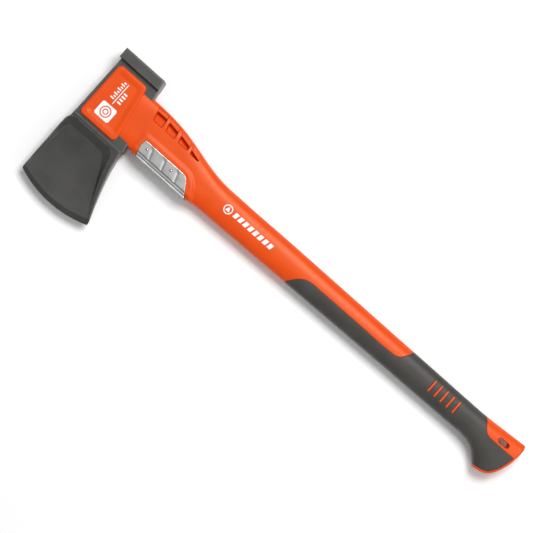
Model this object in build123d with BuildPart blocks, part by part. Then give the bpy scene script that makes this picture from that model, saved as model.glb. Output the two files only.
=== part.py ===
"""Splitting axe with a forged wedge head and a fork-mounted composite handle, lying on its side.

The row frame has +Z up through the thickness of the axe, X along the handle from the head to the
butt, and the cutting edge towards -Y. The origin is on the ground under the centre of the axe.
All profiles are drawn in tool coordinates: x runs from the head's outer end towards the butt, y
from the handle's axis towards the hammer poll, and heights are counted from the mid-plane.
"""

import os
from math import atan2, copysign, cos, pi, sin

from build123d import *

os.makedirs("parts", exist_ok=True)

# ---------------------------------------------------------------- driving dimensions (mm)
LENGTH = 700.0  # head to butt
POLL_Y = 65.4  # hammer face
EDGE_Y = -142.6  # lowest point of the cutting edge
MID = 20.5  # height of the mid-plane: half the hammer's width

NECK_HALF = 12.8  # steel frame round the fork pockets
WEB_HALF = 6.5  # steel web between the fork's two cheeks
FORK_CORNER_R = 4.0
HAMMER_CHAMFER = 1.6
CREASE_Y = -36.4  # where the neck meets the wedge
CREASE_HALF = 17.4  # half thickness of the wedge there
BEVEL_HALF = 3.4  # half thickness where the ground bevel starts
BEVEL_W = 6.2  # width of the ground bevel
BEVEL_Y = EDGE_Y + BEVEL_W
EDGE_HALF = 0.4
EDGE_R = 149.0  # radius of the cutting edge
EDGE_X = 54.0  # its lowest point

FORK_HALF = 14.4  # half thickness of the handle beside the head
COVER_HALF = 16.2  # outer face of the cheek covers
COVER_CORNER_R = 7.0
COVER_EDGE_R = 1.6
PANEL_DEPTH = 1.0  # recessed label panel in a cover
PANEL_CORNER_R = 3.0
PANEL_RIM_CORNER_R = 4.0
PIN_R = 4.0
RIVET_R = 1.6
RIVET_HEAD_R = 2.2
RIVET_HEAD_H = 1.1

PAD_HALF = 15.0  # raised pad under the strike guard
SHEET = 1.2  # thickness of the guard's sheet
GUARD_HALF = PAD_HALF + SHEET

GRIP_T = 1.8  # thickness of the soft overmould
CORE_HALF_Y = 9.0  # half height of the glass-fibre core tube
CORE_HALF_Z = 5.5
CORE_WALL = 2.5
SLIT_W = 2.7
SLIT_L = 17.4
SLIT_PITCH = 10.0
SLIT_START = (561.0, 5.1)
SLIT_COUNT = 5

THROUGH = 80.0  # length of a cut made right through the axe
OUTWARD = 20.0  # length of a cut made from inside the axe out through one flank
OUTSIDE = 60.0  # a y beyond the handle on either side

AXIS_Y = -(POLL_Y + EDGE_Y) / 2  # row y of the handle's axis
X0 = -LENGTH / 2  # row x of the head's outer end


def side(half=0.0):
    """Plane parallel to the mid-plane, whose local x and y are tool coordinates."""
    return Plane(origin=(X0, AXIS_Y, MID + half))


def across(x, y=0.0, turn=0.0):
    """Plane across the handle at (x, y): local x is towards the poll, local y is up."""
    lean = (-sin(turn), cos(turn), 0)
    return Plane(origin=(X0 + x, AXIS_Y + y, MID), x_dir=lean, z_dir=(cos(turn), sin(turn), 0))


# ---------------------------------------------------------------- outlines
NECK_LEFT = 3.0
NECK_TOP = 53.0  # just inside the hammer
NECK = [(NECK_LEFT, NECK_TOP), (64.2, NECK_TOP), (82.4, CREASE_Y), (NECK_LEFT, CREASE_Y)]
HAMMER = [(1.0, 51.2), (1.0, POLL_Y), (62.2, POLL_Y), (64.0, 51.2)]
BLADE_RIGHT = [(82.4, CREASE_Y), (84.1, -52.0), (87.6, -70.0), (93.3, -90.0), (100.2, -110.0),
               (107.1, -128.0)]
BLADE_LEFT = [(0.0, -125.0), (0.2, -90.0), (0.8, -48.0), (3.0, -42.6)]
TOE = (107.4, -131.0)  # ends of the cutting edge
HEEL = (1.0, -133.7)
POCKET_LEFT = 9.0  # left wall of the steel pockets that hold the fork
FORK_TOP = 39.7
FORK_LOW = -25.6
EDGE_CENTRE_Y = EDGE_Y + EDGE_R

# Hollow in each cheek of the wedge: mouth corners on the wedge face, floor corners below them
HOLLOW_TOP_Y = -52.6
HOLLOW_END_Y = -127.4
MOUTH = [(-8, -39.6), (66.9, -40.8), (73.6, -46.3), (77.0, -58.7), (81.8, -77.4), (89.6, -98.5),
         (104.5, -128.0), (-8, -128.0)]
FLOOR = [(2.0, HOLLOW_TOP_Y), (59.6, HOLLOW_TOP_Y), (66.2, -55.8), (72.4, -67.5), (77.8, -79.5),
         (86.2, -97.5), (103.6, HOLLOW_END_Y), (-6, HOLLOW_END_Y)]
HOLLOW_TOP_HALF = 8.4  # floor of the hollow at its top end
HOLLOW_END_HALF = 3.9  # floor of the hollow where it runs out

COVER = [(7.1, 45.5), (51.6, 45.5), (66.2, -33.1), (7.1, -33.1)]
PANEL = [(16.9, 36.0), (44.8, 36.0), (55.8, -22.9), (16.9, -22.9)]
PANEL_RIM = [(13.6, 39.3), (47.6, 39.3), (59.8, -26.2), (13.6, -26.2)]

GUARD = [(96.6, -40.0), (92.6, -8.0), (93.6, -5.2), (96.4, -4.2), (154.0, -4.2), (160.5, -6.2),
         (165.6, -11.0), (176.2, -27.6), (184.0, -40.0)]
PAD = [(87.0, -40.0), (85.5, -4.0), (92.0, 4.6), (154.5, 4.6), (166.5, 0.6), (176.0, -8.5),
       (186.0, -24.0), (192.0, -40.0)]
GUARD_RIB_X = [109.6, 130.6, 151.6]
GUARD_RIB = [(-1.4, -6.2), (1.2, -6.2), (3.4, -20.4), (0.8, -20.4)]
RIVETS = [(102.1, -12.3), (141.7, -12.0)]
PINS = [(18.0, 31.0), (18.0, -16.0), (58.0, -16.0)]
WINDOW = [(28.0, 30.0), (52.0, 30.0), (52.0, -4.0), (28.0, -4.0)]  # moulding runs through the web

# Stations of the handle: top point, bottom point, half thickness, squareness of the section
STATIONS = [
    ((54.0, 39.8), (54.0, -25.7), FORK_HALF, 6.0),
    ((80.0, 39.9), (80.0, -26.4), FORK_HALF, 6.0),
    ((100.0, 39.1), (100.0, -27.4), 14.3, 5.6),
    ((122.3, 36.4), (122.3, -27.4), 14.1, 4.9),
    ((147.2, 31.1), (147.2, -27.0), 13.9, 4.1),
    ((172.0, 24.9), (172.0, -26.6), 13.7, 3.4),
    ((197.0, 20.6), (197.0, -25.0), 13.5, 2.9),
    ((234.0, 19.8), (234.0, -24.1), 13.4, 2.6),
    ((309.0, 20.6), (309.0, -22.2), 13.2, 2.5),
    ((371.0, 20.9), (371.0, -20.6), 13.0, 2.4),
    ((433.0, 21.1), (433.0, -19.1), 13.0, 2.4),
    ((496.0, 21.3), (496.0, -17.6), 13.0, 2.4),
    ((558.0, 21.6), (558.0, -16.5), 13.0, 2.4),
    ((610.0, 21.8), (610.0, -15.5), 13.1, 2.4),
    ((634.0, 22.1), (629.0, -15.2), 13.3, 2.5),
    ((651.0, 23.0), (642.5, -17.4), 13.6, 2.6),
    ((668.0, 24.2), (652.5, -22.7), 13.9, 2.8),
    ((686.0, 25.4), (660.3, -30.0), 14.0, 3.0),
    ((708.0, 26.9), (666.5, -40.0), 14.0, 3.2),
]
BUTT_END = [(699.4, 15.0), (696.6, -6.6), (688.6, -25.0)]  # end arc, top to bottom
BUTT_TOP = [(696.0, 27.0), (698.9, 22.0)]
BUTT_BEND = (679.5, -33.2)
BUTT_TOE = (663.0, -36.8)
RIM_END = [(696.2, 5.2), (693.6, -6.6), (686.2, -24.0)]  # inner line of the end rim
RIM_BEND = (678.5, -30.6)
RIM_TOE = (662.0, -34.2)

# Border of the soft grip: up from the belly, back along the flank, round the back, down to the butt
GRIP_FRONT = [(338.0, -21.0), (346.2, -8.6), (354.5, -2.6), (365.0, 0.3)]
GRIP_RISE = [(495.0, 2.0), (505.0, 3.6), (511.5, 10.0), (517.5, 24.0)]
GRIP_FALL = [(637.0, 24.0), (643.0, 16.0), (648.5, 8.2), (657.0, 4.9)]

# Pockets beside the neck: left-top, right-top, right-low, left-low of each
POCKETS = [
    [(79.8, 32.3), (96.3, 32.3), (98.2, 19.4), (83.3, 19.8)],
    [(100.3, 31.7), (117.0, 29.4), (119.0, 19.5), (103.9, 19.7)],
    [(122.0, 29.2), (139.3, 25.4), (140.4, 19.3), (124.5, 19.6)],
    [(143.6, 24.3), (159.9, 19.6), (158.4, 18.3), (144.9, 18.6)],
]
LEDGE_Y = [37.0, 35.0, 31.0, 27.0]  # top of the shallow ledge above each pocket
LEDGE_DROP = 0.11  # the ledges fall towards the butt with the handle's back
POCKET_CORNER_R = 0.6
POCKET_FLOOR = 4.5  # half thickness of the web left between opposite pockets
LEDGE_HALF = 11.4

SLOT_CENTRE = (674.3, 11.1)
SLOT_LENGTH = 16.6
SLOT_HEIGHT = 6.6
SLOT_MOUTH_HALF = 11.4  # the slot flares from here out to each flank
SLOT_FLARE = 32
SECTION_POINTS = 24

def superellipse(top, low, half, power, inset=0.0):
    """Closed section between two profile points: oval when power is 2, boxy as it grows."""
    height = ((top[0] - low[0]) ** 2 + (top[1] - low[1]) ** 2) ** 0.5
    points = []
    for i in range(SECTION_POINTS):
        a = 2 * pi * i / SECTION_POINTS
        c = copysign(abs(cos(a)) ** (2 / power), cos(a))
        s = copysign(abs(sin(a)) ** (2 / power), sin(a))
        points.append(((height / 2 - inset) * c, (half - inset) * s))
    return points


def station_plane(top, low):
    """Plane through a station's two profile points and square to the mid-plane."""
    turn = atan2(top[1] - low[1], top[0] - low[0]) - pi / 2
    return across((top[0] + low[0]) / 2, (top[1] + low[1]) / 2, turn)


def handle_loft(inset):
    """The handle's outer form, or the same form drawn in by the inset."""
    with BuildPart() as form:
        for top, low, half, power in STATIONS:
            with BuildSketch(station_plane(top, low)):
                with BuildLine():
                    Spline(*superellipse(top, low, half, power, inset), periodic=True)
                make_face()
        loft()
    return form.part


# ---------------------------------------------------------------- steel head
FORK_POCKET = [(POCKET_LEFT, FORK_TOP), (120, FORK_TOP), (120, FORK_LOW), (POCKET_LEFT, FORK_LOW)]

with BuildPart() as wedge:
    with BuildSketch(side()):
        with BuildLine():
            Spline(*BLADE_RIGHT)
            Line(BLADE_RIGHT[-1], TOE)
            ThreePointArc(TOE, (EDGE_X, EDGE_Y), HEEL)
            Polyline(HEEL, *BLADE_LEFT, (NECK_LEFT, CREASE_Y), BLADE_RIGHT[0])
        make_face()
    extrude(amount=MID, both=True)
    # Flat cheeks: thickness falls from the crease to the bevel
    with BuildSketch(Plane(origin=(X0 - OUTWARD, AXIS_Y, MID), x_dir=(0, 1, 0), z_dir=(1, 0, 0))):
        with BuildLine():
            Polyline((CREASE_Y, CREASE_HALF), (BEVEL_Y, BEVEL_HALF), (EDGE_Y - BEVEL_W, BEVEL_HALF),
                     (EDGE_Y - BEVEL_W, -BEVEL_HALF), (BEVEL_Y, -BEVEL_HALF), (CREASE_Y, -CREASE_HALF),
                     close=True)
        make_face()
    extrude(amount=2 * THROUGH, mode=Mode.INTERSECT)
    # Ground bevel: a double cone about the centre of the cutting edge
    slope = (BEVEL_HALF - EDGE_HALF) / BEVEL_W
    with BuildSketch(Plane(origin=(X0 + EDGE_X, AXIS_Y + EDGE_CENTRE_Y, MID), x_dir=(1, 0, 0),
                           z_dir=(0, -1, 0))):
        with BuildLine():
            Polyline((0, EDGE_HALF + slope * EDGE_R), (EDGE_R, EDGE_HALF), (EDGE_R, -EDGE_HALF),
                     (0, -EDGE_HALF - slope * EDGE_R), close=True)
        make_face()
    revolve(axis=Axis((X0 + EDGE_X, AXIS_Y + EDGE_CENTRE_Y, MID), (0, 0, 1)), mode=Mode.INTERSECT)


def cheek_plane(y0, half0, y1, half1, lift=0.0):
    """Sloping plane through (y0, half0) and (y1, half1) whose local x is along the handle."""
    run = y0 - y1
    rise = half0 - half1
    span = (run**2 + rise**2) ** 0.5
    up = (0, -rise / span, run / span)
    origin = (X0, AXIS_Y + y1, MID + half1 + lift)
    return Plane(origin=origin, x_dir=(1, 0, 0), z_dir=up), span / run


face_plane, face_stretch = cheek_plane(CREASE_Y, CREASE_HALF, BEVEL_Y, BEVEL_HALF, 1.0)
floor_plane, floor_stretch = cheek_plane(HOLLOW_TOP_Y, HOLLOW_TOP_HALF, HOLLOW_END_Y, HOLLOW_END_HALF)

with BuildPart() as hollow:
    with BuildSketch(floor_plane):
        Polygon(*[(x, (y - HOLLOW_END_Y) * floor_stretch) for x, y in FLOOR], align=None)
    with BuildSketch(face_plane):
        Polygon(*[(x, (y - BEVEL_Y) * face_stretch) for x, y in MOUTH], align=None)
    loft(ruled=True)
    mirror(about=side())

with BuildPart() as axe_head:
    with BuildSketch(side()):
        Polygon(*NECK, align=None)
    extrude(amount=NECK_HALF, both=True)
    for face_side in (1, -1):
        with BuildSketch(side(face_side * WEB_HALF)):
            with BuildLine():
                FilletPolyline(*FORK_POCKET, radius=FORK_CORNER_R, close=True)
            make_face()
        extrude(amount=face_side * OUTWARD, mode=Mode.SUBTRACT)
    with BuildSketch(side()):
        Polygon(*HAMMER, align=None)
    extrude(amount=MID, both=True)
    hammer_rim = axe_head.faces().sort_by(Axis.Y)[-1].edges()
    chamfer(hammer_rim, length=HAMMER_CHAMFER)
    add(wedge.part)
    add(hollow.part, mode=Mode.SUBTRACT)
    with BuildSketch(side(-WEB_HALF)):
        with BuildLine():
            FilletPolyline(*WINDOW, radius=5.0, close=True)
        make_face()
        with Locations(*PINS):
            Circle(PIN_R)
    extrude(amount=2 * WEB_HALF, mode=Mode.SUBTRACT)
axe_head.part.label = "axe_head"

# ---------------------------------------------------------------- strike guard
# Section of the folded sheet, across the handle: outer line and the pad inside it
GUARD_BACK = 6.0
GUARD_BEND = -21.0
GUARD_FRONT = -28.6
GUARD_NOSE = 10.5
GUARD_X0 = 80.0
GUARD_X1 = 192.0


def guard_form(shrink, over=0.0):
    """The folded form, running straight along the handle, inset by shrink and longer by over."""
    flat = GUARD_HALF - shrink
    front = GUARD_FRONT + shrink
    nose = GUARD_NOSE - shrink / 2
    with BuildPart() as form:
        with BuildSketch(across(GUARD_X0 - over)):
            Polygon((GUARD_BACK, -flat), (GUARD_BACK, flat), (GUARD_BEND, flat), (front, nose),
                    (front, -nose), (GUARD_BEND, -flat), align=None)
        extrude(amount=GUARD_X1 - GUARD_X0 + 2 * over)
    return form.part


with BuildPart() as strike_guard:
    add(guard_form(0.0))
    add(guard_form(SHEET, 1.0), mode=Mode.SUBTRACT)
    with BuildSketch(side(-THROUGH / 2)):
        Polygon(*GUARD, align=None)
    extrude(amount=THROUGH, mode=Mode.INTERSECT)
    # Pressed stiffening ribs on both flanks
    for face_side in (1, -1):
        for x in GUARD_RIB_X:
            with BuildSketch(side(face_side * (GUARD_HALF - 0.2))):
                with Locations((x, 0)):
                    Polygon(*GUARD_RIB, align=None)
            extrude(amount=face_side * 0.9)
    for x, y in RIVETS:
        with BuildSketch(side(-THROUGH / 2)):
            with Locations((x, y)):
                Circle(RIVET_R)
        extrude(amount=THROUGH, mode=Mode.SUBTRACT)
strike_guard.part.label = "strike_guard"

with BuildPart() as guard_rivets:
    for x, y in RIVETS:
        with BuildSketch(side(-GUARD_HALF)):
            with Locations((x, y)):
                Circle(RIVET_R)
        extrude(amount=2 * GUARD_HALF)
        for face_side in (1, -1):
            with BuildSketch(side(face_side * GUARD_HALF)):
                with Locations((x, y)):
                    Circle(RIVET_HEAD_R)
            extrude(amount=face_side * RIVET_HEAD_H, taper=35)
guard_rivets.part.label = "guard_rivets"

# ---------------------------------------------------------------- lock pins and core rod
with BuildPart() as head_lock_pins:
    with BuildSketch(side(-NECK_HALF)):
        with Locations(*PINS):
            Circle(PIN_R)
    extrude(amount=2 * NECK_HALF)
head_lock_pins.part.label = "head_lock_pins"

CORE_START = (176.0, -1.5)
CORE_END = (630.0, 3.2)
core_turn = atan2(CORE_END[1] - CORE_START[1], CORE_END[0] - CORE_START[0])
with BuildPart() as fibre_core:
    with BuildSketch(across(*CORE_START, core_turn)):
        Ellipse(CORE_HALF_Y, CORE_HALF_Z)
        Ellipse(CORE_HALF_Y - CORE_WALL, CORE_HALF_Z - CORE_WALL, mode=Mode.SUBTRACT)
    extrude(amount=CORE_END[0] - CORE_START[0])
fibre_core.part.label = "fibre_core"

with BuildPart() as core_bore:
    with BuildSketch(across(*CORE_START, core_turn)):
        Ellipse(CORE_HALF_Y, CORE_HALF_Z)
    extrude(amount=CORE_END[0] - CORE_START[0])

# ---------------------------------------------------------------- grip region, seen from the side
with BuildPart() as grip_region:
    with BuildSketch(side(-THROUGH / 2)):
        with BuildLine():
            Spline(*GRIP_FRONT)
            Line(GRIP_FRONT[-1], GRIP_RISE[0])
            Spline(*GRIP_RISE)
            Polyline(GRIP_RISE[-1], (GRIP_RISE[-1][0], OUTSIDE), (GRIP_FALL[0][0], OUTSIDE), GRIP_FALL[0])
            Spline(*GRIP_FALL)
            Line(GRIP_FALL[-1], RIM_END[0])
            ThreePointArc(*RIM_END)
            TangentArc(RIM_END[-1], RIM_BEND, tangent=(-0.5, -0.86))
            Line(RIM_BEND, RIM_TOE)
            Polyline(RIM_TOE, (RIM_TOE[0], -OUTSIDE), (GRIP_FRONT[0][0], -OUTSIDE), GRIP_FRONT[0])
        make_face()
        with Locations(*[(SLIT_START[0] + SLIT_PITCH * i, SLIT_START[1]) for i in range(SLIT_COUNT)]):
            SlotOverall(SLIT_L, SLIT_W, rotation=90, mode=Mode.SUBTRACT)
    extrude(amount=THROUGH)

outer_form = handle_loft(0.0)
inner_form = handle_loft(GRIP_T)

with BuildPart() as butt_trim:
    with BuildSketch(side(-THROUGH / 2)):
        with BuildLine():
            Polyline((0, OUTSIDE), (BUTT_TOP[0][0], OUTSIDE), BUTT_TOP[0])
            Spline(*BUTT_TOP, BUTT_END[0])
            ThreePointArc(*BUTT_END)
            TangentArc(BUTT_END[-1], BUTT_BEND, tangent=(-0.5, -0.86))
            Line(BUTT_BEND, BUTT_TOE)
            Polyline(BUTT_TOE, (BUTT_TOE[0] - OUTWARD, -OUTSIDE), (0, -OUTSIDE), (0, OUTSIDE))
        make_face()
    extrude(amount=THROUGH)

with BuildPart() as grip_overmould:
    add(outer_form)
    add(grip_region.part, mode=Mode.INTERSECT)
    add(butt_trim.part, mode=Mode.INTERSECT)
    add(inner_form, mode=Mode.SUBTRACT)
grip_overmould.part.label = "grip_overmould"

# ---------------------------------------------------------------- handle moulding
with BuildPart() as fork_tongue:
    with BuildSketch(side(-NECK_HALF)):
        Polygon((POCKET_LEFT, FORK_TOP), (70, FORK_TOP), (70, FORK_LOW), (POCKET_LEFT, FORK_LOW),
                align=None)
    extrude(amount=2 * NECK_HALF)

with BuildPart() as guard_pad:
    add(guard_form(SHEET))
    with BuildSketch(side(-THROUGH / 2)):
        Polygon(*PAD, align=None)
    extrude(amount=THROUGH, mode=Mode.INTERSECT)

with BuildPart() as under_covers:
    for face_side in (1, -1):
        with BuildSketch(side(face_side * NECK_HALF)):
            Polygon((0, OUTSIDE), *COVER[1:3], (0, -OUTSIDE), align=None)
        extrude(amount=face_side * OUTWARD)

with BuildPart() as pocket_cuts:
    for face_side in (1, -1):
        for corners in POCKETS:
            with BuildSketch(side(face_side * POCKET_FLOOR)):
                with BuildLine():
                    FilletPolyline(*corners, radius=POCKET_CORNER_R, close=True)
                make_face()
            extrude(amount=face_side * OUTWARD)
        for corners, ledge_y in zip(POCKETS, LEDGE_Y):
            left, right = corners[0], corners[1]
            far_y = ledge_y - LEDGE_DROP * (right[0] - left[0])
            with BuildSketch(side(face_side * LEDGE_HALF)):
                Polygon((left[0] + 1.5, left[1] - 2), (left[0] - 0.9, ledge_y),
                        (right[0] - 0.7, far_y), (right[0] - 1.0, right[1] - 2), align=None)
            extrude(amount=face_side * OUTWARD)

with BuildPart() as hang_slot:
    with BuildSketch(side(-THROUGH / 2)):
        with Locations(SLOT_CENTRE):
            SlotOverall(SLOT_LENGTH, SLOT_HEIGHT)
    extrude(amount=THROUGH)
    for face_side in (1, -1):
        with BuildSketch(side(face_side * SLOT_MOUTH_HALF)):
            with Locations(SLOT_CENTRE):
                SlotOverall(SLOT_LENGTH, SLOT_HEIGHT)
        extrude(amount=face_side * 5, taper=-SLOT_FLARE)

with BuildPart() as handle_body:
    add(outer_form)
    add(fork_tongue.part)
    add(guard_pad.part)
    add(butt_trim.part, mode=Mode.INTERSECT)
    grip_space = grip_region.part - inner_form
    add(grip_space, mode=Mode.SUBTRACT)
    add(under_covers.part, mode=Mode.SUBTRACT)
    add(pocket_cuts.part, mode=Mode.SUBTRACT)
    add(hang_slot.part, mode=Mode.SUBTRACT)
    add(axe_head.part, mode=Mode.SUBTRACT)
    add(strike_guard.part, mode=Mode.SUBTRACT)
    add(guard_rivets.part, mode=Mode.SUBTRACT)
    add(head_lock_pins.part, mode=Mode.SUBTRACT)
    add(core_bore.part, mode=Mode.SUBTRACT)
handle_body.part.label = "handle_body"


# ---------------------------------------------------------------- cheek covers
def cheek_cover(face_side):
    """Rounded plate over one cheek of the fork, with a recessed label panel."""
    with BuildPart() as cover:
        with BuildSketch(side(face_side * NECK_HALF)):
            with BuildLine():
                FilletPolyline(*COVER, radius=COVER_CORNER_R, close=True)
            make_face()
        extrude(amount=face_side * (COVER_HALF - NECK_HALF))
        outer = cover.faces().sort_by(Axis.Z)[-1 if face_side > 0 else 0]
        fillet(outer.edges(), radius=COVER_EDGE_R)
        for half, corners, radius in ((COVER_HALF - PANEL_DEPTH, PANEL, PANEL_CORNER_R),
                                      (COVER_HALF, PANEL_RIM, PANEL_RIM_CORNER_R)):
            with BuildSketch(side(face_side * half)):
                with BuildLine():
                    FilletPolyline(*corners, radius=radius, close=True)
                make_face()
        loft(mode=Mode.SUBTRACT)
    return cover.part


cheek_cover_upper = cheek_cover(1)
cheek_cover_upper.label = "cheek_cover_upper"
cheek_cover_lower = cheek_cover(-1)
cheek_cover_lower.label = "cheek_cover_lower"

# ---------------------------------------------------------------- export
PARTS = [
    axe_head.part,
    handle_body.part,
    cheek_cover_upper,
    cheek_cover_lower,
    head_lock_pins.part,
    strike_guard.part,
    guard_rivets.part,
    grip_overmould.part,
    fibre_core.part,
]
for piece in PARTS:
    export_step(piece, f"parts/{piece.label}.step")
    box = piece.bounding_box()
    print(piece.label, f"{piece.volume / 1000:.1f} cm3", box.min, box.max)
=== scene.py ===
"""Looks of the splitting axe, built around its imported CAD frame. Metres, same frame as the CAD."""

import math

import bmesh
import bpy
import numpy as np
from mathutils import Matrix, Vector
from mathutils.geometry import delaunay_2d_cdt


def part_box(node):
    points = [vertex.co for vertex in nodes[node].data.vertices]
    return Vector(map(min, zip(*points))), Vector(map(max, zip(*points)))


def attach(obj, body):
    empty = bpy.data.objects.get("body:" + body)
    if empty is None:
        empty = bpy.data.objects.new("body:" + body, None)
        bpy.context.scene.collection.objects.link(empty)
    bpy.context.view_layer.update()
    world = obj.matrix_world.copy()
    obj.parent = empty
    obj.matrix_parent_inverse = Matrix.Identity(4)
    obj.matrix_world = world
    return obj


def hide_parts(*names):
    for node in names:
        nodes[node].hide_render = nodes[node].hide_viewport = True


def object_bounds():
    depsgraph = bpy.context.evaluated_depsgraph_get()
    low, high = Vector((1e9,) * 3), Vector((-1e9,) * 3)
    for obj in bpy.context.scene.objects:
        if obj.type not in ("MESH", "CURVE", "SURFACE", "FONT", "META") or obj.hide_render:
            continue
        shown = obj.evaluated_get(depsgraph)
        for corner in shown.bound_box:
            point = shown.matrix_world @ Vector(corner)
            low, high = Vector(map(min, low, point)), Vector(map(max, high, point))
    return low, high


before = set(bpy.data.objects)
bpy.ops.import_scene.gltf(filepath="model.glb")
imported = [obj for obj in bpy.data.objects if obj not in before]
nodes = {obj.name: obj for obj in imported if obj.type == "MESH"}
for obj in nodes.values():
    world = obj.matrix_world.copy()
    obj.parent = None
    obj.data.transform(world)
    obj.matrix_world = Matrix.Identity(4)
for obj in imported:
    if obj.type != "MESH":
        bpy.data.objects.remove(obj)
cad_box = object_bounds()

# ------------------------------------------------------------------ places, all from the frame
MM = 0.001
head_low, head_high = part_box("axe_head")
MID = (head_low.z + head_high.z) / 2  # height of the mid-plane
X0 = cad_box[0][0]  # the head's outer end
POLL_Y = 65.4
AXIS_Y = head_high.y - POLL_Y * MM  # the handle's axis


def linked(name, data):
    """New object in the scene."""
    obj = bpy.data.objects.new(name, data)
    bpy.context.scene.collection.objects.link(obj)
    return obj


def tool(x, y, half=0.0):
    """Row point of tool coordinates in millimetres: along the handle, towards the poll, up."""
    return Vector((X0 + x * MM, AXIS_Y + y * MM, MID + half * MM))


# ------------------------------------------------------------------ camera
CAMERA_PLACE = (309.0, -21.6, 2296.0)  # tool coordinates; the last is above the mid-plane
CAMERA_ROLL = math.radians(41.82)
CAMERA_LENS = 124.4
camera_data = bpy.data.cameras.new("camera")
camera_data.sensor_width = 36.0
camera_data.lens = CAMERA_LENS
camera = linked("camera", camera_data)
camera.location = tool(*CAMERA_PLACE)
camera.rotation_euler = (0, 0, CAMERA_ROLL)
bpy.context.scene.camera = camera


# ------------------------------------------------------------------ materials
def new_material(name):
    """A material with an empty tree but for its shader and output."""
    mat = bpy.data.materials.new(name)
    mat.use_nodes = True
    tree = mat.node_tree
    tree.nodes.clear()
    out = tree.nodes.new("ShaderNodeOutputMaterial")
    shader = tree.nodes.new("ShaderNodeBsdfPrincipled")
    tree.links.new(shader.outputs["BSDF"], out.inputs["Surface"])
    return mat, tree, shader


def noise(tree, scale, detail=3.0, rough=0.5, vector=None):
    """Noise over object coordinates, scale in features per metre."""
    made = tree.nodes.new("ShaderNodeTexNoise")
    made.inputs["Scale"].default_value = scale
    made.inputs["Detail"].default_value = detail
    made.inputs["Roughness"].default_value = rough
    if vector is None:
        vector = tree.nodes.new("ShaderNodeTexCoord").outputs["Object"]
    tree.links.new(vector, made.inputs["Vector"])
    return made.outputs["Fac"]


def streaks(tree, scale):
    """Noise drawn out along the handle; scale is in features per metre along each axis."""
    stretch = tree.nodes.new("ShaderNodeMapping")
    stretch.inputs["Scale"].default_value = scale
    tree.links.new(tree.nodes.new("ShaderNodeTexCoord").outputs["Object"], stretch.inputs["Vector"])
    return noise(tree, 1.0, 3.0, 0.6, stretch.outputs["Vector"])


def ramp(tree, value, low, high, start, end):
    """Maps value from low..high to start..end, clamped; start and end are numbers or sockets."""
    made = tree.nodes.new("ShaderNodeMapRange")
    made.inputs["From Min"].default_value = low
    made.inputs["From Max"].default_value = high
    for socket, wanted in ((made.inputs["To Min"], start), (made.inputs["To Max"], end)):
        if isinstance(wanted, bpy.types.NodeSocket):
            tree.links.new(wanted, socket)
        else:
            socket.default_value = wanted
    tree.links.new(value, made.inputs["Value"])
    return made.outputs["Result"]


def mix(tree, factor, first, second):
    """Colour mix; first and second are colours or sockets."""
    made = tree.nodes.new("ShaderNodeMix")
    made.data_type = "RGBA"
    tree.links.new(factor, made.inputs[0])
    for socket, value in ((made.inputs[6], first), (made.inputs[7], second)):
        if isinstance(value, bpy.types.NodeSocket):
            tree.links.new(value, socket)
        else:
            socket.default_value = (*value, 1.0)
    return made.outputs[2]


def bump(tree, shader, height, strength, distance):
    """Adds a bump to the shader, on top of any that is there."""
    made = tree.nodes.new("ShaderNodeBump")
    made.inputs["Strength"].default_value = strength
    made.inputs["Distance"].default_value = distance
    tree.links.new(height, made.inputs["Height"])
    if shader.inputs["Normal"].is_linked:
        earlier = shader.inputs["Normal"].links[0].from_socket
        tree.links.new(earlier, made.inputs["Normal"])
    tree.links.new(made.outputs["Normal"], shader.inputs["Normal"])


def raised(tree, start, full):
    """1 along raised edges: pointiness ramped from start to full."""
    return ramp(tree, tree.nodes.new("ShaderNodeNewGeometry").outputs["Pointiness"], start, full, 0.0, 1.0)


def marked(tree):
    """The mesh's own mask of edge lines that get a painted highlight."""
    mask = tree.nodes.new("ShaderNodeAttribute")
    mask.attribute_name = "highlight_lines"
    return mask.outputs["Fac"]


def edge_highlight(tree, base, highlight_colour, where, amount):
    """Lighter colour where the mask is 1, broken into patches: a painted highlight along edges."""
    patches = ramp(tree, noise(tree, 160.0, 4.0), 0.38, 0.62, 0.35 * amount, amount)
    return mix(tree, ramp(tree, where, 0.0, 1.0, 0.0, patches), base, highlight_colour)


def orange_plastic():
    """Glass-fibre-filled nylon: fine spark-eroded grain and faint flow clouding."""
    mat, tree, shader = new_material("orange_composite")
    cloud = noise(tree, 35.0, 4.0)
    fibre = noise(tree, 900.0, 2.0)
    base = mix(tree, ramp(tree, cloud, 0.35, 0.65, 0, 1), (0.68, 0.060, 0.003), (0.72, 0.069, 0.004))
    base = mix(tree, ramp(tree, fibre, 0.6, 0.75, 0, 0.25), base, (0.76, 0.096, 0.016))
    # Lighter orange on the sharpest convex edges: a painted highlight, broken into patches.
    base = edge_highlight(tree, base, (0.78, 0.14, 0.04), raised(tree, 0.53, 0.56), 0.5)
    tree.links.new(base, shader.inputs["Base Color"])
    grain = noise(tree, 2600.0, 2.0)
    tree.links.new(ramp(tree, grain, 0.3, 0.7, 0.34, 0.42), shader.inputs["Roughness"])
    bump(tree, shader, grain, 0.2, 0.00004)
    bump(tree, shader, noise(tree, 60.0, 3.0), 0.15, 0.0003)
    shader.inputs["Specular IOR Level"].default_value = 0.34
    shader.inputs["Specular Tint"].default_value = (1.0, 0.76, 0.52, 1.0)
    return mat


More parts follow.
